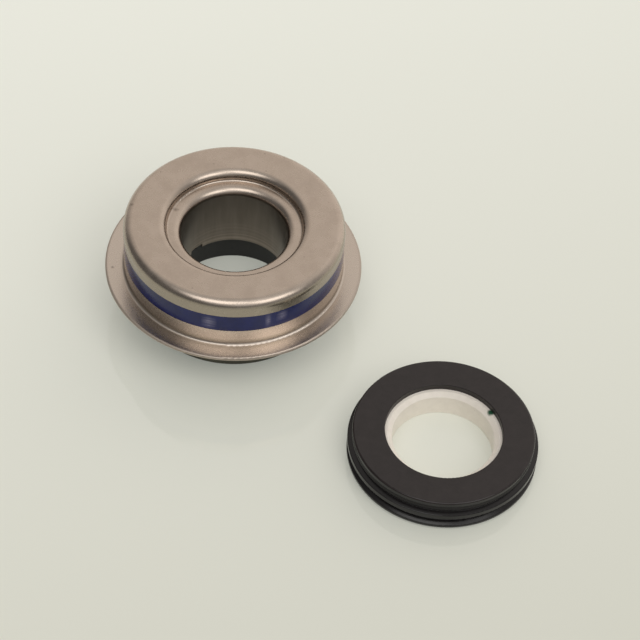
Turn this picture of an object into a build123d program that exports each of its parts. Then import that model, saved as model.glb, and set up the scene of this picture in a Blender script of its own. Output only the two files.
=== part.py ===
from build123d import *
import os

# Component mechanical seal: a spring-loaded seal head and the mating ring that it runs against.
# All sizes are millimetres. Z = 0 is the flange's seating face and the Z axis is the shaft's axis.
# Radii end in _R, and heights are measured along Z.

# Pressed steel case, one drawn sheet: flange, wall, top, recess, ledge and the neck that the shaft
# passes through
SHEET = 0.5                # case steel
SHAFT_BORE_R = 8.80
LEDGE_WIDTH = 2.40         # from the bore to the recess wall
FLANGE_WIDTH = 3.10        # from the wall to the flange's edge
CASE_TOP_Z = 9.60          # flat top of the case
FLANGE_RIM = 0.30          # rolled upper edge of the flange
FLANGE_BEND = 0.40         # tight hollow bend between flange and wall
CORNER_BEND = 1.45         # bend between wall and top
RECESS_DEPTH = 1.75
RECESS_BEND = 1.30         # bend from the top down into the recess
LEDGE_BEND = 0.35          # hollow bend at the foot of the recess wall
NECK_BEND = 1.25           # bend from the ledge down into the neck
NECK_FOOT_Z = -4.15
EDGE_BREAK = 0.12          # dulled sheared edges

# Sealant band, lacquer in a shallow groove round the case wall
BAND_BASE_Z = 3.25
BAND_TOP_Z = 6.65
GROOVE_DEPTH = 0.12
BAND_COAT = 0.07           # lacquer in the groove, still below the wall's surface

# Inner sleeve, pressed over the neck's foot
SLEEVE_SHEET = 0.5
SLEEVE_LENGTH = 6.0
LUG_COUNT = 3
LUG_FIRST = 19.5           # azimuth of the first lug, degrees
LUG_WIDTH = 2.4
NOTCH_HEIGHT = 0.80        # notch that each lug leaves in the sleeve's and the neck's foot
NOTCH_GAP = 0.10           # notch beyond the lug's width, each side
LUG_REACH = 1.10           # lug tip beyond the sleeve

# Nose ring, carbon, and its stroke
FREE_STAND = 9.75          # sealing face below the flange's seating face at free length
STROKE = 2.20              # how far the nose can be pushed in
SLEEVE_GAP = 0.50          # nose ring's bore to the sleeve
NOSE_LAND = 2.30           # width of the raised sealing face
NOSE_STEP = 1.00           # step out from the sealing nose to the body
NOSE_RAISE = 1.50
NOSE_HEIGHT = 7.50
NOSE_CHAMFER = 0.15
SLOT_SIDE_GAP = 0.20       # lug to slot, each side and at the tip
SLOT_STOP_GAP = 0.05       # lug to slot end at free length

# Rubber bellows
RUBBER_GAP = 0.10          # bellows to the parts that move with the nose
TUBE_GAP = 0.30            # thin tube to the case's recess wall
TUBE_WALL = 0.80
FOLD_OUT = 0.50            # outward swell of the fold
FOLD_MIDDLE_Z = 2.5
FOLD_HALF = 1.1
COLLAR_FOOT_Z = -7.20
WEB = 0.60                 # rubber between nose ring and spring retainer
BEAD = 1.25                # rubber squeezed under the case top
SKIRT_RUBBER = 0.50        # rubber squeezed against the case wall
SKIRT_FOOT_Z = 4.75

# Clamp ring, spring and spring retainer
CLAMP_SHEET = 0.5
CLAMP_BEND = 0.60
BORE_GAP = 0.50            # clamp ring and retainer bores to the thin tube
SPRING_WIRE = 1.30
SPRING_GAP = 0.45          # coil to the bellows' fold
SPRING_TURNS = 4
RETAINER_SHEET = 0.5
RETAINER_MARGIN = 0.75     # retainer's outside beyond the coil
RETAINER_BEND = 0.70
RETAINER_FOOT_Z = -7.90
CLAMP_GAP = 0.95           # retainer's outside to the clamp ring's skirt

# Mating ring, ceramic in a rubber cup, lying beside the head on the same plane
SEAT_X = 36.00
SEAT_Y = -29.70
CERAMIC_R = 13.20
CERAMIC_BORE_R = 8.25
CERAMIC_HEIGHT = 4.60
CERAMIC_BORE_CHAMFER = 0.70
CERAMIC_EDGE = 0.25
CUP_WALL = 2.15            # ceramic's outside to the crests of the cup's sealing ridges
CUP_RIM_STEP = 0.70        # crests beyond the plain rim
CUP_GROOVE_STEP = 0.90     # crests beyond the grooves
CUP_BORE_STEP = 1.20       # cup's bore beyond the ceramic's
CUP_BACK = 1.10            # rubber over the ceramic's back
CUP_FOOT = 0.30            # ceramic stands proud of the rubber
RIM_DEPTH = 0.85           # plain rim above the upper groove
BEADLET_DROP = 1.55        # small bead, below the cup's back face
RIDGE_DROP = 2.65          # main ridge
RIDGE_FLAT = 0.90
LOWER_RIDGE_DROP = 4.70    # top of the lower ridge
GROOVE_DROP = 0.20         # from a crest down to the groove beside it
RUBBER_ROUND = 0.16
GROOVE_ROUND = 0.07

# Levels that follow from the sizes above
FACE_Z = -FREE_STAND
NOSE_BACK_Z = FACE_Z + NOSE_HEIGHT
LEDGE_Z = CASE_TOP_Z - RECESS_DEPTH
LUG_FOOT_Z = NECK_FOOT_Z + NOTCH_HEIGHT
LUG_TOP_Z = LUG_FOOT_Z + SLEEVE_SHEET
NECK_R = SHAFT_BORE_R + SHEET
SLEEVE_R = NECK_R + SLEEVE_SHEET
LUG_TIP_R = SLEEVE_R + LUG_REACH
NOSE_BORE_R = SLEEVE_R + SLEEVE_GAP
NOSE_FACE_R = NOSE_BORE_R + NOSE_LAND
NOSE_BODY_R = NOSE_FACE_R + NOSE_STEP
RECESS_R = SHAFT_BORE_R + LEDGE_WIDTH
TUBE_R = RECESS_R + SHEET + TUBE_GAP
TUBE_OUTER_R = TUBE_R + TUBE_WALL
SPRING_SEAT_BORE_R = TUBE_OUTER_R + BORE_GAP
SPRING_R = TUBE_OUTER_R + FOLD_OUT + SPRING_GAP + SPRING_WIRE / 2
RETAINER_R = SPRING_R + SPRING_WIRE / 2 + RETAINER_MARGIN
CLAMP_R = RETAINER_R + CLAMP_GAP + CLAMP_SHEET
CASE_BORE_R = CLAMP_R + SKIRT_RUBBER
WALL_R = CASE_BORE_R + SHEET
GROOVE_R = WALL_R - GROOVE_DEPTH
FLANGE_R = WALL_R + FLANGE_WIDTH
CLAMP_TOP_Z = CASE_TOP_Z - SHEET - BEAD
WEB_Z = NOSE_BACK_Z + RUBBER_GAP
RETAINER_PLATE_Z = WEB_Z + WEB + RUBBER_GAP
SPRING_FOOT_Z = RETAINER_PLATE_Z + RETAINER_SHEET
SPRING_TOP_Z = CLAMP_TOP_Z - CLAMP_SHEET
CERAMIC_BACK_Z = FACE_Z + CERAMIC_HEIGHT
CUP_R = CERAMIC_R + CUP_WALL
CUP_RIM_R = CUP_R - CUP_RIM_STEP
CUP_GROOVE_R = CUP_R - CUP_GROOVE_STEP
CUP_BORE_R = CERAMIC_BORE_R + CUP_BORE_STEP


def turned(*corners):
    """A ring turned about Z from section corners, each (radius, height) or (radius, height, rounding)."""
    points = [(corner[0], 0, corner[1]) for corner in corners]
    roundings = [corner[2] if len(corner) == 3 else 0 for corner in corners]
    outline = FilletPolyline(*points, radius=roundings, close=True)
    return revolve(make_face(outline), axis=Axis.Z)


def around(shape, count, first):
    """The shape turned to each of the evenly spaced azimuths."""
    return [Rot(0, 0, first + step * 360 / count) * shape for step in range(count)]


def radial_block(inner_r, outer_r, width, low_z, high_z):
    """A block that lies along +X between two radii and two heights."""
    middle = Pos((inner_r + outer_r) / 2, 0, (low_z + high_z) / 2)
    return middle * Box(outer_r - inner_r, width, high_z - low_z)


def notches():
    """Openings at the foot of neck and sleeve, one below each lug."""
    width = LUG_WIDTH + 2 * NOTCH_GAP
    notch = radial_block(SHAFT_BORE_R - 1, SLEEVE_R + 1, width, NECK_FOOT_Z - 1, LUG_FOOT_Z)
    return around(notch, LUG_COUNT, LUG_FIRST)


def case():
    """Flange, hollow bend, grooved wall, rounded shoulder, flat top, recess, ledge and neck in one sheet."""
    drawn = turned(
        (FLANGE_R, 0, FLANGE_RIM),
        (WALL_R, 0, FLANGE_BEND),
        (WALL_R, BAND_BASE_Z),
        (GROOVE_R, BAND_BASE_Z),
        (GROOVE_R, BAND_TOP_Z),
        (WALL_R, BAND_TOP_Z),
        (WALL_R, CASE_TOP_Z, CORNER_BEND),
        (RECESS_R, CASE_TOP_Z, RECESS_BEND),
        (RECESS_R, LEDGE_Z, LEDGE_BEND),
        (SHAFT_BORE_R, LEDGE_Z, NECK_BEND),
        (SHAFT_BORE_R, NECK_FOOT_Z, EDGE_BREAK),
        (NECK_R, NECK_FOOT_Z, EDGE_BREAK),
        (NECK_R, LEDGE_Z - SHEET, NECK_BEND - SHEET),
        (RECESS_R + SHEET, LEDGE_Z - SHEET, LEDGE_BEND + SHEET),
        (RECESS_R + SHEET, CASE_TOP_Z - SHEET, RECESS_BEND - SHEET),
        (CASE_BORE_R, CASE_TOP_Z - SHEET, CORNER_BEND - SHEET),
        (CASE_BORE_R, -SHEET, FLANGE_BEND + SHEET),
        (FLANGE_R, -SHEET, EDGE_BREAK),
    )
    return drawn - notches()


def sealant_band():
    """Lacquer ring that fills the groove over its whole width."""
    coat_r = GROOVE_R + BAND_COAT
    return turned(
        (GROOVE_R, BAND_BASE_Z),
        (coat_r, BAND_BASE_Z),
        (coat_r, BAND_TOP_Z),
        (GROOVE_R, BAND_TOP_Z),
    )


def inner_sleeve():
    """Tube with lugs bent out of its foot, which hold the nose ring in and stop it turning."""
    tube = turned(
        (NECK_R, NECK_FOOT_Z),
        (NECK_R, NECK_FOOT_Z + SLEEVE_LENGTH, EDGE_BREAK),
        (SLEEVE_R, NECK_FOOT_Z + SLEEVE_LENGTH, EDGE_BREAK),
        (SLEEVE_R, NECK_FOOT_Z),
    )
    root_r = SLEEVE_R - SLEEVE_SHEET / 2
    lug = radial_block(root_r, LUG_TIP_R, LUG_WIDTH, LUG_FOOT_Z, LUG_TOP_Z)
    return tube - notches() + around(lug, LUG_COUNT, LUG_FIRST)


def nose_ring():
    """Carbon ring with a raised sealing nose and closed slots in its bore for the sleeve's lugs."""
    ring = turned(
        (NOSE_BORE_R, FACE_Z, NOSE_CHAMFER),
        (NOSE_FACE_R, FACE_Z, NOSE_CHAMFER),
        (NOSE_FACE_R, FACE_Z + NOSE_RAISE),
        (NOSE_BODY_R, FACE_Z + NOSE_RAISE, NOSE_CHAMFER),
        (NOSE_BODY_R, NOSE_BACK_Z, NOSE_CHAMFER),
        (NOSE_BORE_R, NOSE_BACK_Z, NOSE_CHAMFER),
    )
    slot = radial_block(
        NOSE_BORE_R - 1,
        LUG_TIP_R + SLOT_SIDE_GAP,
        LUG_WIDTH + 2 * SLOT_SIDE_GAP,
        LUG_FOOT_Z - STROKE - SLOT_SIDE_GAP,
        LUG_TOP_Z + SLOT_STOP_GAP,
    )
    return ring - around(slot, LUG_COUNT, LUG_FIRST)


def bellows():
    """Bead and skirt clamped in the case, thin folded tube, and the collar round the nose ring."""
    clamp_r = NOSE_BODY_R + RUBBER_GAP
    bead_top_z = CASE_TOP_Z - SHEET
    collar_r = RETAINER_R - RETAINER_SHEET - RUBBER_GAP
    fold_top_z = FOLD_MIDDLE_Z + FOLD_HALF
    fold_foot_z = FOLD_MIDDLE_Z - FOLD_HALF
    return turned(
        (TUBE_R, bead_top_z, RECESS_BEND - SHEET + RUBBER_GAP),
        (CASE_BORE_R, bead_top_z, CORNER_BEND - SHEET + RUBBER_GAP),
        (CASE_BORE_R, SKIRT_FOOT_Z),
        (CLAMP_R, SKIRT_FOOT_Z),
        (CLAMP_R, CLAMP_TOP_Z, CLAMP_BEND),
        (TUBE_OUTER_R, CLAMP_TOP_Z, FOLD_OUT),
        (TUBE_OUTER_R, fold_top_z + FOLD_OUT, FOLD_OUT),
        (TUBE_OUTER_R + FOLD_OUT, fold_top_z, FOLD_OUT),
        (TUBE_OUTER_R + FOLD_OUT, fold_foot_z, FOLD_OUT),
        (TUBE_OUTER_R, fold_foot_z - FOLD_OUT, FOLD_OUT),
        (TUBE_OUTER_R, WEB_Z + WEB, RUBBER_GAP),
        (collar_r, WEB_Z + WEB, WEB),
        (collar_r, COLLAR_FOOT_Z, RUBBER_GAP),
        (clamp_r, COLLAR_FOOT_Z, RUBBER_GAP),
        (clamp_r, WEB_Z),
        (TUBE_R, WEB_Z, RUBBER_GAP),
        (TUBE_R, fold_foot_z - FOLD_OUT, FOLD_OUT),
        (TUBE_R + FOLD_OUT, fold_foot_z, FOLD_OUT),
        (TUBE_R + FOLD_OUT, fold_top_z, FOLD_OUT),
        (TUBE_R, fold_top_z + FOLD_OUT, FOLD_OUT),
    )


def bellows_clamp_ring():
    """Angle ring that presses the bellows into the case and seats the spring."""
    return turned(
        (SPRING_SEAT_BORE_R, CLAMP_TOP_Z, EDGE_BREAK),
        (CLAMP_R, CLAMP_TOP_Z, CLAMP_BEND),
        (CLAMP_R, SKIRT_FOOT_Z),
        (CLAMP_R - CLAMP_SHEET, SKIRT_FOOT_Z),
        (CLAMP_R - CLAMP_SHEET, SPRING_TOP_Z, CLAMP_BEND - CLAMP_SHEET),
        (SPRING_SEAT_BORE_R, SPRING_TOP_Z, EDGE_BREAK),
    )


def spring():
    """Round-wire coil, ground flat where it meets the clamp ring and the retainer."""
    free_height = SPRING_TOP_Z - SPRING_FOOT_Z
    rise = free_height / SPRING_TURNS
    path = Helix(pitch=rise, height=free_height, radius=SPRING_R)
    start = Plane(origin=path @ 0, z_dir=path % 0)
    coil = sweep(start * Circle(SPRING_WIRE / 2), path=path, is_frenet=True)
    between = Cylinder(SPRING_R + SPRING_WIRE, free_height, align=(Align.CENTER, Align.CENTER, Align.MIN))
    return Pos(0, 0, SPRING_FOOT_Z) * (coil & between)


def spring_retainer():
    """Cup that grips the bellows' collar round the nose ring and takes the spring on its back."""
    skirt_bore_r = RETAINER_R - RETAINER_SHEET
    return turned(
        (SPRING_SEAT_BORE_R, RETAINER_PLATE_Z + RETAINER_SHEET, EDGE_BREAK),
        (RETAINER_R, RETAINER_PLATE_Z + RETAINER_SHEET, RETAINER_BEND),
        (RETAINER_R, RETAINER_FOOT_Z, EDGE_BREAK),
        (skirt_bore_r, RETAINER_FOOT_Z, EDGE_BREAK),
        (skirt_bore_r, RETAINER_PLATE_Z, RETAINER_BEND - RETAINER_SHEET),
        (SPRING_SEAT_BORE_R, RETAINER_PLATE_Z, EDGE_BREAK),
    )


def mating_ring():
    """Ceramic ring, sealing face down, with the bore chamfered at its back."""
    ring = turned(
        (CERAMIC_BORE_R, FACE_Z, CERAMIC_EDGE / 2),
        (CERAMIC_R, FACE_Z, CERAMIC_EDGE),
        (CERAMIC_R, CERAMIC_BACK_Z, CERAMIC_EDGE),
        (CERAMIC_BORE_R + CERAMIC_BORE_CHAMFER, CERAMIC_BACK_Z),
        (CERAMIC_BORE_R, CERAMIC_BACK_Z - CERAMIC_BORE_CHAMFER),
    )
    return Pos(SEAT_X, SEAT_Y, 0) * ring


def mating_ring_cup():
    """Rubber cup round the ceramic: flat back, plain rim, a small bead and two sealing ridges."""
    back_z = CERAMIC_BACK_Z + CUP_BACK
    foot_z = FACE_Z + CUP_FOOT
    beadlet_z = back_z - BEADLET_DROP
    ridge_top_z = back_z - RIDGE_DROP + RIDGE_FLAT / 2
    ridge_foot_z = ridge_top_z - RIDGE_FLAT
    lower_ridge_z = back_z - LOWER_RIDGE_DROP
    flank = (CUP_R - CUP_GROOVE_R) / 2
    cup = turned(
        (CUP_BORE_R, CERAMIC_BACK_Z),
        (CUP_BORE_R, back_z, RUBBER_ROUND),
        (CUP_RIM_R, back_z, 2 * RUBBER_ROUND),
        (CUP_RIM_R, back_z - RIM_DEPTH, GROOVE_ROUND),
        (CUP_GROOVE_R, back_z - RIM_DEPTH - GROOVE_DROP, GROOVE_ROUND),
        (CUP_RIM_R, beadlet_z, GROOVE_ROUND),
        (CUP_GROOVE_R, ridge_top_z + GROOVE_DROP, GROOVE_ROUND),
        (CUP_R, ridge_top_z, RUBBER_ROUND),
        (CUP_R, ridge_foot_z, RUBBER_ROUND),
        (CUP_GROOVE_R, ridge_foot_z - flank, RUBBER_ROUND),
        (CUP_GROOVE_R, lower_ridge_z + flank, RUBBER_ROUND),
        (CUP_R, lower_ridge_z, RUBBER_ROUND),
        (CUP_R, foot_z, 2 * RUBBER_ROUND),
        (CERAMIC_R, foot_z),
        (CERAMIC_R, CERAMIC_BACK_Z, CERAMIC_EDGE),
    )
    return Pos(SEAT_X, SEAT_Y, 0) * cup


PIECES = [
    case,
    sealant_band,
    inner_sleeve,
    nose_ring,
    bellows,
    bellows_clamp_ring,
    spring,
    spring_retainer,
    mating_ring,
    mating_ring_cup,
]

os.makedirs("parts", exist_ok=True)
for piece in PIECES:
    export_step(piece(), f"parts/{piece.__name__}.step")
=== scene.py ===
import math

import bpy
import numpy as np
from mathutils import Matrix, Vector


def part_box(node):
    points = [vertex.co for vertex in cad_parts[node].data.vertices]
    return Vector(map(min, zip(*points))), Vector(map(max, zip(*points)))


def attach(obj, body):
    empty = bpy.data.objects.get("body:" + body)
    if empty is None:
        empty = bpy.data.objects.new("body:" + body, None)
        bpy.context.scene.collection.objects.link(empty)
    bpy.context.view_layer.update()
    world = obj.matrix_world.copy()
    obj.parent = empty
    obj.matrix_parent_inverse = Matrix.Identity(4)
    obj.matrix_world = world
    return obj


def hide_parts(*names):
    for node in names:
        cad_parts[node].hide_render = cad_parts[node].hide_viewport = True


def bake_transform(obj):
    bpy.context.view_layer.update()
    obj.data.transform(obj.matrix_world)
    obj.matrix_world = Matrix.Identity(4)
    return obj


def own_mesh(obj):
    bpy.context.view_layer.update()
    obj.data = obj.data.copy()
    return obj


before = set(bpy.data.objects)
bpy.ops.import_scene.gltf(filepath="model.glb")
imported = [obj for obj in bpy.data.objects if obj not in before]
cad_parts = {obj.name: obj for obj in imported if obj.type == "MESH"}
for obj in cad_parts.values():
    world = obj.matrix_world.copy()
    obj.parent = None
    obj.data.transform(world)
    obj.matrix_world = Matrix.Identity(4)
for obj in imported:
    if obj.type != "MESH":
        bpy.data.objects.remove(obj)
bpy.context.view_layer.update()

# %% [markdown]
# # A component mechanical seal
#
# A component seal is a set of two parts. The head is a pressed steel case that is pushed into a pump's
# housing; a spring inside it holds a carbon ring against the second part, a ceramic mating ring that
# turns with the shaft. The fixed frame already holds every rigid piece at its true size. This notebook
# sets up the camera and the light, writes a finish for each material, and models the soft and sprung
# pieces that change shape as the head is pressed together.

MM = 0.001

# %% [markdown]
# ## The places that everything else is measured from
#
# The head's axis is the frame's Z axis. The mating ring lies beside it, so its axis is read from its
# node's box. Both stand on one plane, which is the foot of the carbon ring.

# %% Axes and levels
def span(node):
    """A node's box in millimetres, as a 2 by 3 array of its lowest and highest corners."""
    return np.array([list(corner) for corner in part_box(node)]) / MM


SEAT_AXIS = span("mating_ring_cup").mean(axis=0)[:2]
FLOOR_Z = span("nose_ring")[0, 2]
print("mating ring's axis:", SEAT_AXIS.round(2), "floor level:", round(FLOOR_Z, 2))

# %% [markdown]
# ## Camera
#
# The view looks down at about 49 degrees from two fifths of a metre away, with a slight roll. The
# camera's turn is built from its pitch and roll, so that each of the two angles stays one number.

# %% Camera
CAMERA_PLACE = (15.029, -263.934, 286.938)     # millimetres
CAMERA_PITCH = math.radians(48.679)            # below the horizon
CAMERA_ROLL = math.radians(3.929)
SENSOR = 36.0
CAMERA_LENS = 131.5                            # millimetres, on that sensor
CLIP_START = 0.01                              # metres


def placed(name, data):
    """A new object that carries the data, linked to the scene."""
    made = bpy.data.objects.new(name, data)
    bpy.context.scene.collection.objects.link(made)
    return made


camera_data = bpy.data.cameras.new("camera")
camera_data.sensor_width = SENSOR
camera_data.lens = CAMERA_LENS
camera_data.clip_start = CLIP_START
camera = placed("camera", camera_data)
tilt = Matrix.Rotation(math.pi / 2 - CAMERA_PITCH, 4, "X")
roll = Matrix.Rotation(CAMERA_ROLL, 4, "Z")
camera.matrix_world = Matrix.Translation(Vector(CAMERA_PLACE) * MM) @ tilt @ roll
bpy.context.scene.camera = camera
bpy.context.scene.view_settings.view_transform = "Standard"
print("camera's distance from the head's seat in mm:", round(Vector(CAMERA_PLACE).length, 1))

# %% [markdown]
# ## Writing shaders as sums
#
# A finish is easier to read as an expression than as a list of links. `Wire` wraps one output socket
# and turns `+`, `-`, `*`, `/` and `**` into Math nodes. `add_node` makes any other node from a type, its
# settings and its inputs, and `mixed` uses it for colours. Linking by hand in the node editor gives the
# same trees, but a change to one number is then hard to find again.

# %% Socket wrapper
class Wire:
    """One output socket, with arithmetic that adds Math nodes to its tree."""

    def __init__(self, tree, socket):
        self.tree = tree
        self.socket = socket

    def math(self, operation, *values):
        """A Math node of the operation, fed with the values in order; numbers stay numbers."""
        made = add_node(self.tree, "ShaderNodeMath", {"operation": operation}, dict(enumerate(values)))
        return Wire(self.tree, made.outputs[0])

    def __add__(self, other):
        return self.math("ADD", self, other)

    def __sub__(self, other):
        return self.math("SUBTRACT", self, other)

    def __mul__(self, other):
        return self.math("MULTIPLY", self, other)

    def __truediv__(self, other):
        return self.math("DIVIDE", self, other)

    def __pow__(self, other):
        return self.math("POWER", self, other)

    def __rsub__(self, other):
        return self.math("SUBTRACT", other, self)

    __radd__ = __add__
    __rmul__ = __mul__

    def clipped(self):
        """The value held between 0 and 1."""
        return self.math("MINIMUM", self.math("MAXIMUM", self, 0.0), 1.0)

    def ramp(self, low, high):
        """0 below low, 1 above high, and an even slope between them; low may be the larger."""
        return ((self - low) / (high - low)).clipped()

    def near(self, centre, width):
        """A bump: 1 at the centre, falling to 0 at the width on either side."""
        away = self - centre
        return 1.0 - away.math("ABSOLUTE", away).ramp(0.0, width)


def connect(tree, value, slot):
    """Links a Wire to an input socket, or sets the socket to a plain value."""
    if isinstance(value, Wire):
        tree.links.new(value.socket, slot)
    else:
        slot.default_value = value


def add_node(tree, kind, settings=None, inputs=None):
    """Any node: its settings first, then the values or links of its inputs, by name or by number."""
    made = tree.nodes.new(kind)
    for key, value in (settings or {}).items():
        setattr(made, key, value)
    for key, value in (inputs or {}).items():
        connect(tree, value, made.inputs[key])
    return made


COLOUR_MIX = (0, 6, 7)        # a colour Mix node's inputs: the factor, then the two colours


def mixed(tree, factor, first, second, clamp=True):
    """A colour mix: the first where the factor is 0 and the second where it is 1."""
    settings = {"data_type": "RGBA", "clamp_factor": clamp}
    made = add_node(tree, "ShaderNodeMix", settings, dict(zip(COLOUR_MIX, (factor, first, second))))
    return Wire(tree, made.outputs[2])


print("operators of a Wire:", [name for name in vars(Wire) if name.startswith("__r") or name == "__add__"])

# %% [markdown]
# ## A finish and its coordinates
#
# Every piece keeps its origin at the frame's origin, so Object coordinates are places in the frame, in
# metres. Round pieces want other coordinates: the distance from the axis, the angle round it and the
# height. `Finish` works those out once, about the head's axis or the mating ring's. An unwrapped UV map
# would serve too, but it has seams, and these coordinates have the turned piece's own symmetry.

# %% Material builder
class Finish:
    """One material: its tree, its Principled shader and the coordinates that its patterns use."""

    def __init__(self, name, axis=(0.0, 0.0)):
        self.material = bpy.data.materials.new(name)
        self.material.use_nodes = True
        self.tree = self.material.node_tree
        self.shader = self.tree.nodes["Principled BSDF"]
        place = self.node("ShaderNodeTexCoord", output="Object")
        centre = (-axis[0] * MM, -axis[1] * MM, 0.0)
        from_axis = self.node("ShaderNodeVectorMath", {"operation": "ADD"}, {0: place, 1: centre})
        apart = add_node(self.tree, "ShaderNodeSeparateXYZ", inputs={0: from_axis})
        self.x, self.y, self.z = (Wire(self.tree, output) / MM for output in apart.outputs)
        self.radius = (self.x * self.x + self.y * self.y) ** 0.5
        self.angle = self.y.math("ARCTAN2", self.y, self.x)

    def node(self, kind, settings=None, inputs=None, output=0):
        """Any node of this material's tree, as the Wire of one of its outputs."""
        return Wire(self.tree, add_node(self.tree, kind, settings, inputs).outputs[output])

    def vector(self, x, y, z):
        """Three values joined into one vector."""
        return self.node("ShaderNodeCombineXYZ", inputs={0: x, 1: y, 2: z})

    def noise(self, scale, detail=2.0, roughness=0.5, at=None):
        """Noise of about 0 to 1, with `scale` features in a millimetre of `at` (the place in mm)."""
        where = at or self.vector(self.x, self.y, self.z)
        inputs = {"Vector": where, "Scale": scale, "Detail": detail, "Roughness": roughness}
        return self.node("ShaderNodeTexNoise", inputs=inputs)

    def spots(self, scale, at=None):
        """Distance to the nearest of a scatter of points, with `scale` points in a millimetre."""
        where = at or self.vector(self.x, self.y, self.z)
        return self.node("ShaderNodeTexVoronoi", inputs={"Vector": where, "Scale": scale})

    def blend(self, factor, first, second):
        """A colour mix: the first where the factor is 0 and the second where it is 1."""
        return mixed(self.tree, factor, first, second)

    def bump(self, height, depth):
        """A normal from a height of 0 to 1 that stands `depth` millimetres tall at most."""
        inputs = {"Height": height, "Distance": depth * MM, "Strength": 1.0}
        return self.node("ShaderNodeBump", inputs=inputs)

    def set(self, **values):
        """Sets or links the Principled shader's sockets; a name's underscores are spaces."""
        for key, value in values.items():
            connect(self.tree, value, self.shader.inputs[key.replace("_", " ")])

    def mark(self, centre, size):
        """1 at a place, in millimetres from this finish's axis, falling to 0 at the size: a dent or dab."""
        here = self.vector(self.x, self.y, self.z)
        apart = self.node("ShaderNodeVectorMath", {"operation": "DISTANCE"}, {0: here, 1: centre}, "Value")
        return 1.0 - apart.ramp(0.0, size)


def rgb(red, green, blue):
    """A linear colour from display values of 0 to 255."""
    values = np.array([red, green, blue]) / 255
    linear = np.where(values <= 0.04045, values / 12.92, ((values + 0.055) / 1.055) ** 2.4)
    return (*linear.tolist(), 1.0)


def wear(finish, made):
    """Gives an object a finish."""
    made.data.materials.append(finish.material)
    print(made.name, "wears", finish.material.name, "of", len(finish.tree.nodes), "nodes")


def dress(finish, *nodes):
    """Gives the frame's rigid pieces a finish, by node, in place of the material that they came with."""
    for node in nodes:
        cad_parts[node].data.materials.clear()
        wear(finish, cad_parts[node])


# %% [markdown]
# ## The room
#
# Bright metal shows what stands round it, so the light is mostly a soft room. Its far wall is the
# brightest and a little warm, and that is what the flat top of the case looks at. The left side is dark.
# A broad glow high in front fills the hollow between flange and wall. The room could be a ready-made
# panorama; sums of the direction's east, north and up parts need no file, and each wall is one number.

# %% Room
SHADE = 0.15            # the darkest side, front left
BACK_WALL = 0.64        # added by the bright wall behind, a little to the right
RIGHT_WALL = 0.22       # added on the right
CEILING = 0.36          # added overhead
FRONT_GLOW = 0.68       # added high in front
DAYLIGHT = (1.0, 0.99, 0.97, 1.0)
WARM_WALL = (1.0, 0.915, 0.83, 1.0)
BLACK = (0.0, 0.0, 0.0, 1.0)
JUST_OVER_ONE = 1.02    # keeps the level part of a direction above 0 when it points straight up
BACK_FADE = 0.75        # how much of the back wall is lost towards the ceiling

world = bpy.data.worlds.new("studio")
bpy.context.scene.world = world
world.use_nodes = True
room = world.node_tree
direction = add_node(room, "ShaderNodeTexCoord").outputs["Generated"]
parts = add_node(room, "ShaderNodeSeparateXYZ", inputs={0: Wire(room, direction)})
east, north, up = (Wire(room, output) for output in parts.outputs)
level = (JUST_OVER_ONE - up * up) ** 0.5
back = ((north * 0.97 + east * 0.26) / level).ramp(0.15, 0.85) * (1.0 - up.ramp(0.74, 0.94) * BACK_FADE)
side = (east / level).ramp(-0.3, 0.8) * (1.0 - up.ramp(0.70, 0.95))
front = (up * 0.848 + east * 0.137 - north * 0.512).ramp(0.74, 0.98)


def lit(amount, colour):
    """A colour at a brightness, which may pass 1."""
    return mixed(room, amount, BLACK, colour, clamp=False)


even = SHADE + side * RIGHT_WALL + up.ramp(0.72, 0.97) * CEILING + front * FRONT_GLOW
light = {0: lit(even, DAYLIGHT), 1: lit(back * BACK_WALL, WARM_WALL)}
total = add_node(room, "ShaderNodeVectorMath", {"operation": "ADD"}, light)
room.links.new(total.outputs[0], room.nodes["Background"].inputs["Color"])
print("nodes in the room:", len(room.nodes))

# %% [markdown]
# ## The lamps
#
# Two square area lamps high in front give the streaks on the rounded edges. A point lamp would give hard
# dots on the rim; a broad lamp near the part gives the long soft streak that satin steel shows.

# %% Lamps
LAMPS = {                     # azimuth and elevation in degrees, width in metres, watts
    "lamp_left": (250.0, 62.0, 0.70, 2.3),
    "lamp_right": (318.0, 48.0, 0.66, 2.2),
}
LAMP_DISTANCE = 1.3           # metres
LAMP_COLOUR = (1.0, 0.98, 0.95)


def lamp(name, azimuth, elevation, size, watts):
    """A square area lamp that stands off in one direction, given in degrees, and faces the part."""
    data = bpy.data.lights.new(name, "AREA")
    data.size = size
    data.energy = watts
    data.color = LAMP_COLOUR
    swing, rise = math.radians(azimuth), math.radians(elevation)
    towards = Vector((math.cos(swing) * math.cos(rise), math.sin(swing) * math.cos(rise), math.sin(rise)))
    facing = towards.to_track_quat("Z", "Y").to_matrix().to_4x4()
    placed(name, data).matrix_world = Matrix.Translation(towards * LAMP_DISTANCE) @ facing


for name, values in LAMPS.items():
    lamp(name, *values)
print("lamps:", list(LAMPS))

# %% [markdown]
# ## Surfaces from numbers
#
# A turned ring is the simplest surface there is: a section of (radius, height) points, carried round an
# axis. Writing it as one numpy expression gives every vertex at once, and the same grid helper then
# serves a coil, whose section is carried along a helix instead.

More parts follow.
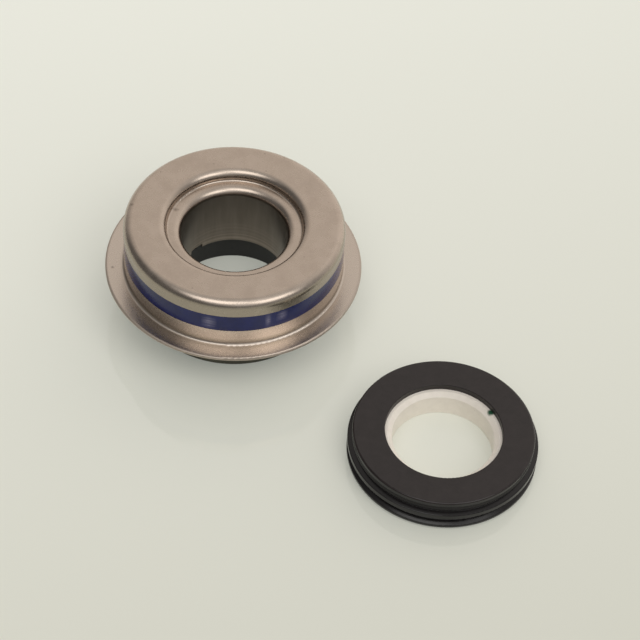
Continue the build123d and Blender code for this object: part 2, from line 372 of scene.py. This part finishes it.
# %% Grid to mesh
def surface(name, grid, caps=False):
    """A grid of points (rings, points in a ring, 3), each ring closed; caps close the two end rings."""
    rings, around = grid.shape[:2]
    index = np.arange(rings * around).reshape(rings, around)
    near = index[:-1] if caps else index
    far = index[1:] if caps else np.roll(index, -1, axis=0)
    quads = np.stack([near, np.roll(near, -1, axis=1), np.roll(far, -1, axis=1), far], axis=-1)
    faces = quads.reshape(-1, 4).tolist()
    if caps:
        faces += [index[0][::-1].tolist(), index[-1].tolist()]
    mesh = bpy.data.meshes.new(name)
    mesh.from_pydata((grid.reshape(-1, 3) * MM).tolist(), [], faces)
    mesh.shade_smooth()
    made = placed(name, mesh)
    print(name, "faces:", len(faces), "lowest and highest in mm:", grid[..., 2].min(), grid[..., 2].max())
    return made


# %% [markdown]
# ## Sections
#
# A moulded or turned piece has small radii at its corners. A bevel modifier could round them, but the
# section is known as a drawing, so its corners are rounded there, each by its own amount, and `turned`
# then carries it round the axis.

# %% Section with rounded corners
def rounded(corners, steps=8):
    """A closed section through corners (radius, height, rounding): at each corner an arc of the rounding,
    tangent to both runs, whose centre lies on the corner's bisector."""
    corners = np.array(corners, float)
    point, size = corners[:, :2], corners[:, 2:]
    back = np.roll(point, 1, axis=0) - point
    ahead = np.roll(point, -1, axis=0) - point
    back /= np.linalg.norm(back, axis=1, keepdims=True)
    ahead /= np.linalg.norm(ahead, axis=1, keepdims=True)
    half = np.arccos(np.clip((back * ahead).sum(axis=1, keepdims=True), -1, 1)) / 2
    bisector = (back + ahead) / np.linalg.norm(back + ahead, axis=1, keepdims=True)
    centre = point + bisector * size / np.sin(half)
    start = point + back * size / np.tan(half) - centre
    stop = point + ahead * size / np.tan(half) - centre
    share = np.linspace(0, 1, steps)[None, :, None]
    arc = start[:, None] * (1 - share) + stop[:, None] * share
    arc *= size[:, None] / np.linalg.norm(arc, axis=2, keepdims=True)
    return (centre[:, None] + arc).reshape(-1, 2)


def turned(section, steps=240):
    """x = r cos a, y = r sin a, z = h for each section point (r, h) and azimuth a."""
    angle = np.linspace(0, 2 * np.pi, steps, endpoint=False)[:, None]
    radius, height = section[:, 0], section[:, 1]
    return np.stack([radius * np.cos(angle), radius * np.sin(angle), height + 0 * angle], axis=-1)


SQUARE = [(1, 0, 0.1), (2, 0, 0.1), (2, 1, 0.1), (1, 1, 0.1)]
print("a ring of square section has points:", turned(rounded(SQUARE)).shape[:2])

# %% [markdown]
# ## The bellows
#
# The rubber bellows is what seals: a bead is squeezed under the case top, a thin folded tube hangs from
# it, and a collar grips the carbon ring's back. It is one turned section.

# %% Bellows
BEAD_TOP, CLAMP_TOP, SKIRT_FOOT = 9.10, 7.85, 4.75
SKIRT_OUT, SKIRT_IN = 17.75, 17.25
TUBE_IN, TUBE_OUT, FOLD = 12.0, 12.8, 0.5
FOLD_TOP, FOLD_FOOT = 3.6, 1.4
WEB_FOOT, WEB_TOP = -2.15, -1.55
COLLAR_IN, COLLAR_OUT, COLLAR_FOOT = 13.7, 15.2, -7.2
bellows_section = rounded([
    (TUBE_IN, BEAD_TOP, 0.9),
    (SKIRT_OUT, BEAD_TOP, 1.05),
    (SKIRT_OUT, SKIRT_FOOT, 0.1),
    (SKIRT_IN, SKIRT_FOOT, 0.1),
    (SKIRT_IN, CLAMP_TOP, 0.6),
    (TUBE_OUT, CLAMP_TOP, FOLD),
    (TUBE_OUT, FOLD_TOP + FOLD, FOLD),
    (TUBE_OUT + FOLD, FOLD_TOP, FOLD),
    (TUBE_OUT + FOLD, FOLD_FOOT, FOLD),
    (TUBE_OUT, FOLD_FOOT - FOLD, FOLD),
    (TUBE_OUT, WEB_TOP, 0.1),
    (COLLAR_OUT, WEB_TOP, 0.6),
    (COLLAR_OUT, COLLAR_FOOT, 0.25),
    (COLLAR_IN, COLLAR_FOOT, 0.25),
    (COLLAR_IN, WEB_FOOT, 0.02),
    (TUBE_IN, WEB_FOOT, 0.1),
    (TUBE_IN, FOLD_FOOT - FOLD, FOLD),
    (TUBE_IN + FOLD, FOLD_FOOT, FOLD),
    (TUBE_IN + FOLD, FOLD_TOP, FOLD),
    (TUBE_IN, FOLD_TOP + FOLD, FOLD),
])
bellows = surface("moulded_bellows", turned(bellows_section))
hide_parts("bellows")
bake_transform(bellows)

# %% [markdown]
# ## The spring
#
# Round wire wound to a helix, with both ends ground flat so that they bear all the way round. The section
# is a circle carried along the helix; clipping the heights at the two bearing planes grinds the ends.
#
# One fault is left in: the points run the wrong way round the wire, so the coil's faces point inwards.
# `np.cross(along, out)` in place of `np.cross(out, along)` would turn them outwards without moving the
# coil's skin.

# %% Spring
CLAMP_SHEET = 0.5             # thickness of the clamp ring, under which the spring bears
spring_box = span("spring")
SPRING_FOOT, SPRING_TOP = span("spring_retainer")[1, 2], span("bellows_clamp_ring")[1, 2] - CLAMP_SHEET
WIRE, TURNS = 1.3, 4
COIL_R = spring_box[1, 0] - WIRE / 2


def helix_tube(radius, wire, foot, top, turns, per_turn=120, sides=24):
    """The centre line is (R cos a, R sin a, foot + rise a), and each ring is a circle across it, spanned by
    the outward direction and the one square to both that and the line. Heights stay within foot and top."""
    angle = np.linspace(0, 2 * np.pi * turns, per_turn * turns + 1)
    rise = (top - foot) / (2 * np.pi * turns)
    out = np.stack([np.cos(angle), np.sin(angle), 0 * angle], axis=-1)
    along = np.stack([-radius * np.sin(angle), radius * np.cos(angle), rise + 0 * angle], axis=-1)
    along /= np.linalg.norm(along, axis=1, keepdims=True)
    centre = radius * out + np.stack([0 * angle, 0 * angle, foot + rise * angle], axis=-1)
    turn = np.linspace(0, 2 * np.pi, sides, endpoint=False)[None, :, None]
    across = np.cross(out, along)
    circle = np.cos(turn) * out[:, None] + np.sin(turn) * across[:, None]
    grid = centre[:, None] + wire / 2 * circle
    grid[..., 2] = np.clip(grid[..., 2], foot, top)
    return grid


coil = surface("coil_spring", helix_tube(COIL_R, WIRE, SPRING_FOOT, SPRING_TOP, TURNS), caps=True)
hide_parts("spring")
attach(coil, "head")
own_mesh(coil)

# %% [markdown]
# ## The floor
#
# The parts stand on pale glass over white. One large plane with a smooth surface gives the soft shadow
# and the faint mirror image. Its colour is painted darker from the far left to the near right, which is
# painted light falling off, and a weak glow of its own stands for the light that spreads inside the glass
# and reaches under the parts. A real sheet of glass with thickness would show a second mirror image, at
# the cost of much noise. The plane is clear from its back, so that the parts' underside can be looked at
# from below.

# %% Floor
FLOOR_HALF = 3000.0                            # millimetres
GLASS_FAR, GLASS_NEAR = rgb(227, 228, 220), rgb(188, 187, 175)
GLASS_GLOW = rgb(245, 250, 238)
FALL = (80.0, -105.0)                          # millimetres, from the far end of the fall to the near end


def flat_floor():
    """A square at the floor's level: four corners, one face."""
    x, y = FLOOR_HALF * np.array([-1, 1, 1, -1]), FLOOR_HALF * np.array([-1, -1, 1, 1])
    corners = np.stack([x, y, np.full(4, FLOOR_Z)], axis=1) * MM
    mesh = bpy.data.meshes.new("floor")
    mesh.from_pydata(corners.tolist(), [], [(0, 1, 2, 3)])
    return placed("floor", mesh)


floor = flat_floor()
glass = Finish("pale_glass")
# painted light: the floor's colour darkens towards the near right, standing in for the light's falloff
fall = (glass.y * 0.9 - glass.x * 0.35).ramp(*FALL)
glass.set(Base_Color=glass.blend(fall, GLASS_FAR, GLASS_NEAR), Roughness=0.05)
glass.set(Emission_Color=GLASS_GLOW, Emission_Strength=0.20)
clear = glass.node("ShaderNodeBsdfTransparent")
from_below = glass.node("ShaderNodeNewGeometry", output="Backfacing")
from_above = Wire(glass.tree, glass.shader.outputs[0])
seen = glass.node("ShaderNodeMixShader", inputs={0: from_below, 1: from_above, 2: clear})
connect(glass.tree, seen, glass.tree.nodes["Material Output"].inputs["Surface"])
wear(glass, floor)

# %% [markdown]
# ## Stamped stainless steel
#
# The case is one sheet, drawn to shape and left as the press leaves it: warm grey, satin rather than
# polished, with faint clouding, pinprick stains and a fine grain. Clouding changes colour and roughness
# together; the grain is a bump far finer than the sheet's thickness. One function makes the steel, so
# that the other sheet and wire pieces can start from it with colours of their own.

# %% Steel
STEEL_PALE = (0.515, 0.435, 0.370, 1.0)
STEEL_DARK = (0.450, 0.378, 0.318, 1.0)
STEEL_PAINTED_LIGHT = (0.580, 0.510, 0.448, 1.0)     # painted light: a paler copy for the flange and the wall below the lacquer
STEEL_PAINTED_SHADE = (0.320, 0.285, 0.230, 1.0)     # painted shade: a darker copy above the lacquer and in the hollow at the wall's foot
STAIN = (0.17, 0.14, 0.12, 1.0)


def stamped_steel(name, roughness=0.27, pale=STEEL_PALE, dark=STEEL_DARK):
    """Satin sheet steel with clouding, pinprick stains and a fine grain, before anything local."""
    steel = Finish(name)
    steel.cloud = steel.noise(0.35, detail=4.0, roughness=0.65)
    steel.fine = steel.noise(2.6, detail=3.0, roughness=0.7)
    tint = (steel.cloud * 0.75 + steel.fine * 0.25).ramp(0.36, 0.64)
    pricks = 1.0 - steel.spots(0.45).ramp(0.03, 0.09)
    steel.colour = steel.blend(pricks * 0.4, steel.blend(tint, dark, pale), STAIN)
    steel.roughness = roughness + (steel.fine - 0.5) * 0.02 + (steel.cloud - 0.5) * 0.12
    steel.height = steel.noise(2.2, detail=2.0)
    steel.set(Metallic=1.0)
    return steel


print("steels, as linear red, green and blue:", STEEL_PALE[:3], STEEL_DARK[:3])

# %% [markdown]
# ## The case: the neck's bore
#
# The neck's bore is given darker steel than the outside, which is painted shade inside the bore; it is also
# rougher and keeps upright draw marks. Those are noise stretched along the height, since it is read at the
# angle and hardly at the height. A few pale rings low down are noise that is read at the height alone.

# %% Case: bore
# painted shade: the bore's darker steel
BORE_SHADE_PALE, BORE_SHADE_DARK = (0.26, 0.225, 0.195, 1.0), (0.19, 0.16, 0.135, 1.0)
BORE_RADIUS, BORE_TOP = (9.6, 8.85), (7.6, 6.4)    # where the bore starts, from its mouth inwards
RINGS_FROM_TO = (0.5, -3.5)                        # heights between which the pale rings come in
case_steel = stamped_steel("stamped_case_steel")
in_bore = case_steel.radius.ramp(*BORE_RADIUS) * case_steel.z.ramp(*BORE_TOP)
upright = case_steel.vector(case_steel.angle * 7.0, case_steel.z * 0.10, 0.0)
draw_marks = case_steel.noise(1.0, detail=3.0, at=upright)
rings = case_steel.noise(1.0, detail=2.0, at=case_steel.vector(0.0, 0.0, case_steel.z * 1.6))
ring_share = case_steel.z.ramp(*RINGS_FROM_TO) * rings.ramp(0.45, 0.6) * 0.3
# painted shade inside the bore, with the draw marks over it
drawn = case_steel.blend(draw_marks.ramp(0.2, 0.8), BORE_SHADE_DARK, BORE_SHADE_PALE)
bore_shade_colour = case_steel.blend(ring_share, drawn, STEEL_PALE)
print("bore starts at radius and height:", BORE_RADIUS, BORE_TOP)

# %% [markdown]
# ## The case: wall, flange and nicks
#
# The flange and the wall below the lacquer get a paler copy of the steel, which is painted light. The wall
# above the lacquer and the hollow at the wall's foot get a darker copy, which is painted shade, and the rim
# is darker, which is painted shade too, and rougher. Each zone is a ramp over radius or height, so its edge
# follows the turned form exactly; painting them would need a texture. Four nicks are marks at places of
# their own, a dent and a dark fleck together.

# %% Case: outside
NICKS = {                      # place and size in millimetres
    "ledge": ((-10.04, 3.48, 7.85), 0.55),
    "shoulder": ((-17.16, 2.29, 9.4), 0.45),
    "wall": ((12.56, -13.24, 9.1), 0.5),
    "flange": ((-19.9, -3.2, 0.0), 0.35),
}
WALL, RIM = (17.9, 18.2), (20.9, 21.15)    # radii between which the wall's outside and the rim start
LACQUER_FOOT, LACQUER_TOP = (3.4, 3.2), (6.5, 6.7)
wall = case_steel.radius.ramp(*WALL)
# the rim is rougher, and its darker colour is painted shade over the light along its edge
rim = case_steel.radius.ramp(*RIM)
hollow = case_steel.z.near(0.2, 0.6) * case_steel.radius.near(18.45, 0.5)
hurt = sum((case_steel.mark(*nick) for nick in NICKS.values()), 0.0)
# painted light: the flange and the wall below the lacquer get the paler copy of the steel
painted_light_below_lacquer = case_steel.blend(wall * case_steel.z.ramp(*LACQUER_FOOT) * 0.8, case_steel.colour, STEEL_PAINTED_LIGHT)
# painted shade: the wall above the lacquer and the hollow at its foot get the darker copy of the steel
wall_shade_share = case_steel.z.ramp(*LACQUER_TOP) * 0.6 + case_steel.z.near(0.75, 0.55) * 0.7
painted_shade_on_wall = case_steel.blend(wall * wall_shade_share, painted_light_below_lacquer, STEEL_PAINTED_SHADE)
worn = case_steel.blend(hurt.clipped() * 0.7, painted_shade_on_wall, STAIN)
case_steel.set(
    Base_Color=case_steel.blend(in_bore, case_steel.blend(rim * 0.6, worn, STEEL_DARK), bore_shade_colour),
    Roughness=case_steel.roughness + in_bore * 0.10 + rim * 0.22 + hollow * 0.16,
    Normal=case_steel.bump(case_steel.height * 0.012 - hurt.clipped() + draw_marks * in_bore * 0.02, 0.03),
)
dress(case_steel, "case")

# %% [markdown]
# ## Inner steel and spring wire
#
# The clamp ring and the sleeve are plainer and duller than the case, for no die has burnished them. The
# spring is drawn wire, smoother and a little brighter. All three start from the same steel as the case,
# with other colours and another roughness, because they differ from it in nothing else that can be seen.

# %% Inner steel
inner_steel = stamped_steel("plain_inner_steel", 0.34, (0.40, 0.34, 0.28, 1.0), (0.30, 0.25, 0.20, 1.0))
inner_steel.set(Base_Color=inner_steel.colour, Roughness=inner_steel.roughness)
inner_steel.set(Normal=inner_steel.bump(inner_steel.height, 0.0006))
dress(inner_steel, "bellows_clamp_ring", "inner_sleeve")
wire_steel = stamped_steel("drawn_spring_wire", 0.24, (0.50, 0.46, 0.41, 1.0), (0.40, 0.36, 0.32, 1.0))
wire_steel.set(Base_Color=wire_steel.colour, Roughness=wire_steel.roughness)
wear(wire_steel, coil)

# %% [markdown]
# ## Retainer in painted shade
#
# The cup that grips the bellows shows below the flange as a dark rim. Its steel is painted dark grey-green,
# which is painted shade under the flange; it is half metallic and quite rough.

# %% Retainer
# painted shade: the retainer's colour is made dark to stand for the flange's shade on it
retainer = stamped_steel("retainer_painted_shade", 0.42, (0.090, 0.086, 0.068, 1.0), (0.058, 0.055, 0.044, 1.0))
retainer.set(Base_Color=retainer.colour, Roughness=retainer.roughness, Metallic=0.85)
retainer.set(Normal=retainer.bump(retainer.height, 0.0012))
dress(retainer, "spring_retainer")

# %% [markdown]
# ## Sealing lacquer
#
# The band is a lacquer brushed into the groove while the case turns, so its surface has faint ridges that
# run round the case. In three small places a pale lilac on the ridges is a painted highlight: glints painted
# into the colour, rougher there. The ridges are noise that changes faster along the height than round the
# case; each painted glint is a soft patch of it.

# %% Lacquer
# painted highlight: where the lacquer's painted glints lie
PAINTED_GLINTS = (                  # azimuth and half width in radians, middle height and half height in mm
    (-1.72, 0.075, 4.8, 1.6),
    (-1.19, 0.032, 5.0, 1.7),
    (-1.06, 0.060, 5.3, 1.2),
)
GLINT_PAINT = (0.27, 0.255, 0.37, 1.0)
LACQUER_DEEP, LACQUER_THIN = (0.002, 0.006, 0.076, 1.0), (0.004, 0.010, 0.105, 1.0)
lacquer = Finish("blue_sealing_lacquer")
brushed = lacquer.noise(1.0, detail=3.0, at=lacquer.vector(lacquer.angle * 5.0, 0.0, lacquer.z * 3.2))
ridges = lacquer.noise(1.0, detail=2.0, at=lacquer.vector(lacquer.angle * 5.0, 0.0, lacquer.z * 6.0))
# painted highlight: pale lilac glints on the ridges
painted_glints = sum(
    (lacquer.angle.near(turn, width).ramp(0.0, 0.9) * lacquer.z.near(middle, reach).ramp(0.0, 0.9)
     for turn, width, middle, reach in PAINTED_GLINTS),
    0.0,
).clipped() * ridges.ramp(0.25, 0.60)
pooled = lacquer.noise(0.45, detail=2.0)
coat = lacquer.blend(pooled.ramp(0.35, 0.65), LACQUER_DEEP, LACQUER_THIN)
lacquer.set(
    Base_Color=lacquer.blend(painted_glints * 0.85, coat, GLINT_PAINT),
    Roughness=0.12 + brushed * 0.08 + painted_glints * 0.2,
    Normal=lacquer.bump(brushed, 0.012),
    Specular_IOR_Level=0.36,
)
dress(lacquer, "sealant_band")

# %% [markdown]
# ## Carbon-graphite
#
# The nose ring is pressed carbon-graphite, nearly black and dry, with a fine speckle from its grains. One
# noise drives colour, roughness and bump, so that a pale grain is also a rougher one.

# %% Carbon
SOOT, GRAPHITE = (0.004, 0.004, 0.004, 1.0), (0.010, 0.010, 0.010, 1.0)
carbon = Finish("carbon_graphite")
speckle = carbon.noise(5.0, detail=3.0)
carbon.set(
    Base_Color=carbon.blend(speckle.ramp(0.35, 0.65), SOOT, GRAPHITE),
    Roughness=0.50 + (speckle - 0.5) * 0.2,
    Normal=carbon.bump(speckle, 0.001),
)
dress(carbon, "nose_ring")

# %% [markdown]
# ## Moulded rubber
#
# The cup and the bellows are moulded and slightly bloomed: what makes them look grey is mostly the room
# in their skin, so their own colour is close to black. The cup's outside is painted darker than its flat
# back, which is painted shade, and the mould has left its edge and its two ridges shinier. Those are ramps
# over radius and height, and on the bellows they fall on the collar's foot, inside the head.

# %% Rubber
BLOOM_PALE, BLOOM_DARK = (0.0260, 0.0200, 0.0195, 1.0), (0.0165, 0.0125, 0.0120, 1.0)
RUBBER_FLANK_SHADE = (0.006, 0.006, 0.0065, 1.0)      # painted shade: the outside is darker than the flat back
CRESTS = (14.5, 14.62), (-5.0, -5.2)            # each zone's start, as radii and as heights
FLANK = (14.3, 14.5), (-4.2, -4.4)
EDGE = (14.28, 14.4), (-4.9, -4.6)


def zone(finish, radii, heights):
    """1 beyond both a radius and a height, each with a soft start."""
    return finish.radius.ramp(*radii) * finish.z.ramp(*heights)


def moulded_rubber(name, axis=(0.0, 0.0)):
    """Rubber with a bloomed surface: blotches of more and less gloss, a fine texture, and shinier crests."""
    rubber = Finish(name, axis)
    bloom = rubber.noise(0.6, detail=5.0, roughness=0.7)
    grain = rubber.noise(4.5, detail=3.0)
    crests, flank, edge = (zone(rubber, *places) for places in (CRESTS, FLANK, EDGE))
    shine = crests * 0.10 + flank * 0.10 + edge * 0.16
    skin = rubber.blend(bloom.ramp(0.3, 0.7), BLOOM_DARK, BLOOM_PALE)
    rubber.set(
        # painted shade: the outside is darker in colour than the flat back
        Base_Color=rubber.blend(flank * 0.7, skin, RUBBER_FLANK_SHADE),
        Roughness=0.40 + (bloom - 0.5) * 0.22 + (grain - 0.5) * 0.10 - shine,
        Normal=rubber.bump(grain, 0.0016),
        Specular_IOR_Level=0.38,
    )
    return rubber


dress(moulded_rubber("cup_rubber", SEAT_AXIS), "mating_ring_cup")
wear(moulded_rubber("bellows_rubber"), bellows)

# %% [markdown]
# ## Fired ceramic
#
# The mating ring is pale and warm, with a faint grain, fine specks and one dab of green marking ink at its
# edge. The dab is one mark with the mottle taken off it, which makes its outline uneven, as ink on a
# slightly rough surface is. The grain is a bump of about a micrometre, because the ring is ground.

# %% Ceramic
INK_PLACE, INK_SIZE = (43.6, -24.45, -5.25), 0.85     # millimetres, in the frame
INK_GREEN = (0.02, 0.09, 0.045, 1.0)
CLAY_WARM, CLAY_PALE = (0.88, 0.82, 0.74, 1.0), (0.93, 0.87, 0.79, 1.0)
SPECK = (0.35, 0.29, 0.24, 1.0)
ceramic = Finish("fired_ceramic", SEAT_AXIS)
mottle = ceramic.noise(0.9, detail=4.0)
specks = 1.0 - ceramic.spots(0.8).ramp(0.02, 0.09)
clay = ceramic.blend(mottle.ramp(0.3, 0.7), CLAY_WARM, CLAY_PALE)
from_seat = (INK_PLACE[0] - float(SEAT_AXIS[0]), INK_PLACE[1] - float(SEAT_AXIS[1]), INK_PLACE[2])
ink = (ceramic.mark(from_seat, INK_SIZE) * 2.2 - mottle * 0.6).clipped()
ceramic.set(
    Base_Color=ceramic.blend(ink, ceramic.blend(specks * 0.35, clay, SPECK), INK_GREEN),
    Roughness=0.32 + (mottle - 0.5) * 0.15,
    Normal=ceramic.bump(ceramic.noise(6.0), 0.0012),
)
dress(ceramic, "mating_ring")

# %% [markdown]
# ## The size with everything in place
#
# The soft pieces were modelled here; a bellows or a coil that stood out of the head would make the box
# with everything in place larger than the frame's own.
